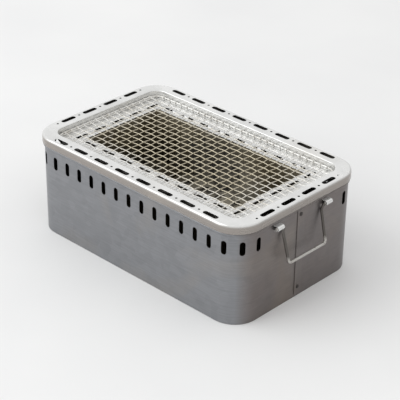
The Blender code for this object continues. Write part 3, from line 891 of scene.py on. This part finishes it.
def mixed(tree, factor, a, b, blend="MIX"):
    """Mix two colours; a factor, colour or socket may be given for each."""
    node = add(tree, "ShaderNodeMix", {"Factor": factor}, data_type="RGBA", blend_type=blend)
    for key, value in (("A", a), ("B", b)):
        socket = next(s for s in node.inputs if s.name == key and s.type == "RGBA")
        if isinstance(value, bpy.types.NodeSocket):
            tree.links.new(value, socket)
        else:
            socket.default_value = (*value, 1.0)
    return next(s for s in node.outputs if s.type == "RGBA")


def calc(tree, operation, a, b=0.0, clamp=False):
    node = add(tree, "ShaderNodeMath", operation=operation, use_clamp=clamp)
    for socket, value in zip(node.inputs, (a, b)):
        if isinstance(value, bpy.types.NodeSocket):
            tree.links.new(value, socket)
        else:
            socket.default_value = value
    return node.outputs[0]


def weighted_sum(tree, *parts):
    """Sum of (value, weight) pairs."""
    total = None
    for value, weight in parts:
        part = calc(tree, "MULTIPLY", value, weight)
        total = part if total is None else calc(tree, "ADD", total, part)
    return total


def axis_value(tree, axis):
    coords = add(tree, "ShaderNodeTexCoord").outputs["Object"]
    return add(tree, "ShaderNodeSeparateXYZ", {"Vector": coords}).outputs[axis]


def off_middle(tree, axis):
    """Distance from the object's middle along an axis."""
    return calc(tree, "ABSOLUTE", axis_value(tree, axis))


def bumped(tree, shader, layers):
    """Stack bumps: (height, distance in metres) from coarse to fine."""
    normal = None
    for height, distance in layers:
        inputs = {"Height": height, "Distance": distance, "Strength": 1.0}
        if normal is not None:
            inputs["Normal"] = normal
        normal = add(tree, "ShaderNodeBump", inputs).outputs["Normal"]
    tree.links.new(normal, shader.inputs["Normal"])


def zinc_spangle(tree, cells):
    """Crystal facets of hot-dipped zinc, one value to a facet."""
    inputs = {"Vector": stretched(tree, (1, 1, 1)), "Scale": cells, "Randomness": 1.0}
    colour = add(tree, "ShaderNodeTexVoronoi", inputs).outputs["Color"]
    return add(tree, "ShaderNodeSeparateColor", {"Color": colour}).outputs[0]


def scratches(tree, stretch, scale):
    """Sparse fine lines: 1 on a line, 0 elsewhere."""
    value = noise_value(tree, scale, 2.0, stretch)
    return spread(tree, value, 0.66, 0.72, 0.0, 1.0)


PAINTED_BACK_SHADE = (0.078, 0.073, 0.066)  # painted shade on the backs and hidden undersides of sheets
END_SHADE_FADE = 0.012         # how far round the corners the painted shade on the end walls reaches


def marked(tree, name):
    return add(tree, "ShaderNodeAttribute", attribute_name=name).outputs["Fac"]


def galvanised(name, light, dark, rough, metallic, spangle=0.5, stain=(0.42, 0.36, 0.29), stain_amount=0.25,
               skirt_reflection=None, end_shade=None):
    """Satin zinc-coated sheet with faint spangle, rolling streaks, smudges and fine scratches, with painted
    shade on its back, a painted reflection on the rim's skirt and painted shade on the end walls where asked.
    """
    mat, tree, shader = new_material(name)
    facets = zinc_spangle(tree, 85.0)
    cloud = noise_value(tree, 14.0, 5.0, distortion=0.6)
    streak = noise_value(tree, 30.0, 4.0, (1, 1, 26))
    grain = noise_value(tree, 1400.0, 3.0)
    base = mixed(tree, weighted_sum(tree, (facets, spangle), (cloud, 1 - spangle)), dark, light)
    # painted dark warm reflection of the surroundings on the rim's skirt
    if skirt_reflection:
        base = mixed(tree, marked(tree, "skirt_reflection"), base, skirt_reflection)
    # painted warm shade on the end walls, darker than the front and back
    if end_shade:
        ends = spread(tree, off_middle(tree, "X"), WALL_HIGH.x - END_SHADE_FADE, WALL_HIGH.x, 0.0, 1.0)
        uneven = calc(tree, "MULTIPLY", ends, spread(tree, cloud, 0.3, 0.7, 0.75, 1.0))
        base = mixed(tree, uneven, base, end_shade, "MULTIPLY")
    # painted shade on the sheet's back
    base = mixed(tree, marked(tree, "shaded_back"), base, PAINTED_BACK_SHADE)
    smudge = spread(tree, noise_value(tree, 7.0, 6.0, distortion=1.2), 0.52, 0.74, 0.0, stain_amount)
    base = mixed(tree, smudge, base, stain)
    fine = spread(tree, streak, 0.35, 0.65, 0.93, 1.05)
    grey = add(tree, "ShaderNodeCombineColor", {0: fine, 1: fine, 2: fine}).outputs[0]
    base = mixed(tree, 1.0, base, grey, "MULTIPLY")
    tree.links.new(base, shader.inputs["Base Color"])
    value = weighted_sum(tree, (facets, 0.25), (cloud, 0.5), (streak, 0.25))
    value = calc(tree, "ADD", spread(tree, value, 0.3, 0.7, *rough), calc(tree, "MULTIPLY", smudge, 0.35))
    worn = calc(tree, "MULTIPLY", scratches(tree, (1, 1, 14), 60.0), 0.08)
    tree.links.new(calc(tree, "SUBTRACT", value, worn, clamp=True), shader.inputs["Roughness"])
    shader.inputs["Metallic"].default_value = metallic
    waves = noise_value(tree, 22.0, 2.0)
    bumped(tree, shader, [(waves, 0.00045), (streak, 0.00002), (facets, 0.000006), (grain, 0.000006)])
    return mat


PALE_PATCH = (0.015, 0.048, 0.062)  # low at the back of the tub
SOOT_PATCH = (-0.010, 0.070, 0.104)  # higher up its back wall
ASH_HIGH = 0.012         # above the tub's floor: no ash from here up
ASH_LOW = 0.001


def near(tree, place, full, none):
    """1 within a distance of a place, falling to 0 further away."""
    coords = add(tree, "ShaderNodeTexCoord").outputs["Object"]
    away = add(tree, "ShaderNodeVectorMath", {0: coords, 1: place}, operation="DISTANCE").outputs["Value"]
    return spread(tree, away, full, none, 1.0, 0.0)


def fired_steel():
    """Heat-tinted sheet: straw and bronze near the top, brown then sooty lower down, a paler patch low at the
    back, ash on the floor, and painted shade on the lip under the flange.
    """
    mat, tree, shader = new_material("fired_steel")
    height = axis_value(tree, "Z")
    ragged = noise_value(tree, 26.0, 6.0, distortion=0.8)
    rise = spread(tree, height, TUB_LOW.z, TUB_HIGH.z, 0.0, 1.0)
    level = calc(tree, "ADD", rise, calc(tree, "MULTIPLY", calc(tree, "SUBTRACT", ragged, 0.5), 0.55))
    ramp = add(tree, "ShaderNodeValToRGB", {"Fac": level})
    fill_ramp(ramp, ((0.0, (0.085, 0.072, 0.050)), (0.30, (0.090, 0.074, 0.048)),
                     (0.55, (0.125, 0.102, 0.064)), (0.80, (0.200, 0.168, 0.110)),
                     (1.0, (0.300, 0.262, 0.190))))
    soot = spread(tree, noise_value(tree, 55.0, 5.0, (1, 1, 0.45), 0.5), 0.50, 0.66, 0.0, 0.65)
    patchy = spread(tree, noise_value(tree, 19.0, 4.0, distortion=0.6), 0.36, 0.56, 0.3, 0.95)
    # a paler patch low at the back of the tub
    paler = calc(tree, "MULTIPLY", near(tree, PALE_PATCH, 0.030, 0.085), patchy)
    base = mixed(tree, paler, ramp.outputs["Color"], (0.50, 0.46, 0.37))
    spot = calc(tree, "MULTIPLY", near(tree, SOOT_PATCH, 0.025, 0.080), 0.8)
    soot = calc(tree, "ADD", soot, spot, clamp=True)
    base = mixed(tree, soot, base, (0.030, 0.026, 0.021))
    settled = spread(tree, height, TUB_LOW.z + ASH_HIGH, TUB_LOW.z + ASH_LOW, 0.0, 1.0)
    ash = calc(tree, "MULTIPLY", settled, spread(tree, noise_value(tree, 180.0, 4.0), 0.42, 0.62, 0.1, 0.9))
    base = mixed(tree, ash, base, (0.33, 0.31, 0.28))
    # painted shade on the tub's lip under the flange
    base = mixed(tree, marked(tree, "shaded_back"), base, PAINTED_BACK_SHADE)
    tree.links.new(base, shader.inputs["Base Color"])
    smooth = spread(tree, ragged, 0.3, 0.7, 0.36, 0.55)
    rough = calc(tree, "ADD", smooth, calc(tree, "MULTIPLY", soot, 0.35), clamp=True)
    tree.links.new(rough, shader.inputs["Roughness"])
    metal = spread(tree, calc(tree, "MAXIMUM", soot, ash), 0.0, 0.6, 0.75, 0.05)
    tree.links.new(metal, shader.inputs["Metallic"])
    waves, grain = noise_value(tree, 24.0, 2.0), noise_value(tree, 900.0, 4.0)
    bumped(tree, shader, [(waves, 0.0005), (soot, 0.00005), (grain, 0.00004)])
    return mat


def fill_ramp(ramp, stops):
    elements = ramp.color_ramp.elements
    while len(elements) < len(stops):
        elements.new(0.5)
    for element, (place, colour) in zip(elements, stops):
        element.position = place
        element.color = (*colour, 1.0)


LEG_REFLECTION_START = TOP - BAR_DEPTH + 0.002  # the painted dark reflection runs from the bar's bend upwards
LEG_REFLECTION_FULL = TOP - BAR_DEPTH + 0.009
PIN_START = LEG_Y + 0.001  # the pins in the straps get no painted reflection
PIN_FULL = LEG_Y + 0.003


def drawn_wire(name, light, dark, rough, metallic=0.9, heat=None, dark_leg_reflection=None):
    """Drawn wire with die lines; heat browns the net's middle, and a handle's legs get a painted dark
    reflection.
    """
    mat, tree, shader = new_material(name)
    patch = noise_value(tree, 38.0, 5.0, distortion=0.7)
    fine = noise_value(tree, 900.0, 3.0)
    base = mixed(tree, spread(tree, patch, 0.35, 0.65, 0.0, 1.0), dark, light)
    if heat:
        off_x, off_y = (calc(tree, "DIVIDE", off_middle(tree, axis), half)
                        for axis, half in zip("XY", OPENING_HALF))
        edge = calc(tree, "ADD", calc(tree, "MAXIMUM", off_x, off_y), calc(tree, "MULTIPLY", patch, 0.5))
        base = mixed(tree, spread(tree, edge, 1.00, 1.45, 0.85, 0.0), base, heat)
    # painted dark reflection on the handle's legs above the bar
    if dark_leg_reflection:
        height = calc(tree, "ADD", axis_value(tree, "Z"), spread(tree, patch, 0.3, 0.7, -0.003, 0.003))
        above_bar = spread(tree, height, LEG_REFLECTION_START, LEG_REFLECTION_FULL, 0.0, 1.0)
        inside_straps = spread(tree, off_middle(tree, "Y"), PIN_START, PIN_FULL, 1.0, 0.0)
        base = mixed(tree, calc(tree, "MULTIPLY", above_bar, inside_straps), base, dark_leg_reflection)
    speck = spread(tree, noise_value(tree, 420.0, 2.0), 0.62, 0.72, 0.0, 0.6)
    base = mixed(tree, speck, base, (0.10, 0.085, 0.07))
    tree.links.new(base, shader.inputs["Base Color"])
    smooth = spread(tree, patch, 0.3, 0.7, *rough)
    value = calc(tree, "ADD", smooth, calc(tree, "MULTIPLY", speck, 0.3), clamp=True)
    tree.links.new(value, shader.inputs["Roughness"])
    shader.inputs["Metallic"].default_value = metallic
    bumped(tree, shader, [(patch, 0.00006), (fine, 0.00002)])
    return mat


def floor_finish():
    """Matte pale studio floor."""
    mat, tree, shader = new_material("studio_floor")
    tone = spread(tree, noise_value(tree, 3.0, 3.0), 0.3, 0.7, 0.0, 1.0)
    tree.links.new(mixed(tree, tone, (0.80, 0.80, 0.80), (0.84, 0.84, 0.835)), shader.inputs["Base Color"])
    shader.inputs["Roughness"].default_value = 0.9
    return mat


# Studio

CAMERA_PLACE = Vector((1.1716, -1.2227, 1.0175))
CAMERA_AIM = Vector((0.010, 0.004, 0.071))
CAMERA_LENS = 124.0
CAMERA_ROLL = 0.85       # degrees


def make_camera():
    data = bpy.data.cameras.new("camera")
    data.lens = CAMERA_LENS
    data.sensor_width = 36.0
    camera = new_object("camera", data)
    turn = (CAMERA_PLACE - CAMERA_AIM).to_track_quat("Z", "Y").to_matrix().to_4x4()
    roll = Matrix.Rotation(radians(CAMERA_ROLL), 4, "Z")
    camera.matrix_world = Matrix.Translation(CAMERA_PLACE) @ turn @ roll
    bpy.context.scene.camera = camera


LIGHT_AIM = Vector((0, 0, 0.08))
FLOOR_HALF = 20.0
FLOOR_DROP = 0.0003      # clear of the pan


def soft_light(name, place, size, power, colour):
    data = bpy.data.lights.new(name, "AREA")
    data.shape = "RECTANGLE"
    data.size, data.size_y = size
    data.energy = power
    data.color = colour
    light = new_object(name, data)
    light.location = place
    light.rotation_euler = (Vector(place) - LIGHT_AIM).to_track_quat("Z", "Y").to_euler()


BRIGHT_SIDE = (-0.20, -0.15, 0.97)  # where the studio's walls are brightest


def make_world():
    """White studio walls, brightest overhead and to the front left."""
    world = bpy.data.worlds.new("studio")
    world.use_nodes = True
    tree = world.node_tree
    coords = add(tree, "ShaderNodeTexCoord").outputs["Generated"]
    facing = add(tree, "ShaderNodeVectorMath", {0: coords, 1: BRIGHT_SIDE}, operation="DOT_PRODUCT")
    level = spread(tree, facing.outputs["Value"], -1.0, 1.0, 0.0, 1.0)
    shade = add(tree, "ShaderNodeValToRGB", {"Fac": level})
    fill_ramp(shade, ((0.0, (0.12, 0.11, 0.10)), (0.42, (0.28, 0.27, 0.26)), (0.57, (0.86, 0.86, 0.86)),
                      (1.0, (0.92, 0.92, 0.92))))
    tree.links.new(shade.outputs["Color"], tree.nodes["Background"].inputs["Color"])
    bpy.context.scene.world = world


def make_floor():
    bm = bmesh.new()
    bmesh.ops.create_grid(bm, x_segments=8, y_segments=8, size=FLOOR_HALF)
    bmesh.ops.translate(bm, vec=(0, 0, -FLOOR_DROP), verts=bm.verts)
    shape_mesh("studio_floor", bm, floor_finish())


def make_studio():
    soft_light("key_light", (-1.7, -2.2, 2.3), (3.2, 3.2), 54.0, (0.97, 0.99, 1.0))
    make_world()
    make_floor()
    bpy.context.scene.view_settings.view_transform = "Standard"


def main():
    make_camera()
    make_studio()
    wall = galvanised("galvanised_wall", (0.300, 0.305, 0.320), (0.235, 0.240, 0.252), (0.38, 0.52),
                      metallic=0.80, end_shade=(0.72, 0.62, 0.56))
    rim = galvanised("bright_rim", (0.82, 0.82, 0.81), (0.74, 0.74, 0.73), (0.19, 0.31), metallic=0.60,
                     spangle=0.35, stain=(0.68, 0.62, 0.52), stain_amount=0.22, skirt_reflection=(0.33, 0.30, 0.275))
    fired = fired_steel()
    net = drawn_wire("net_zinc_wire", (0.84, 0.83, 0.80), (0.70, 0.68, 0.64), (0.34, 0.48),
                     metallic=0.55, heat=(0.55, 0.48, 0.33))
    handle = drawn_wire("handle_steel_wire", (0.62, 0.61, 0.58), (0.48, 0.46, 0.43), (0.25, 0.40),
                        dark_leg_reflection=(0.125, 0.115, 0.105))
    rivet = drawn_wire("rivet_steel", (0.115, 0.105, 0.100), (0.070, 0.064, 0.060), (0.35, 0.50))
    make_casing_wall(wall)
    make_collar(wall)
    make_pan(wall)
    make_seam(wall, rivet)
    make_top_frame(rim)
    make_flange(rim)
    make_tub(fired)
    make_grate(fired)
    make_net(net)
    for place, side in (("right", 1), ("left", -1)):
        make_strap(f"handle_strap_{place}_front", side, rim)
        make_strap(f"handle_strap_{place}_back", side, rim)
        make_bail(f"handle_bail_{place}", side, handle)


main()
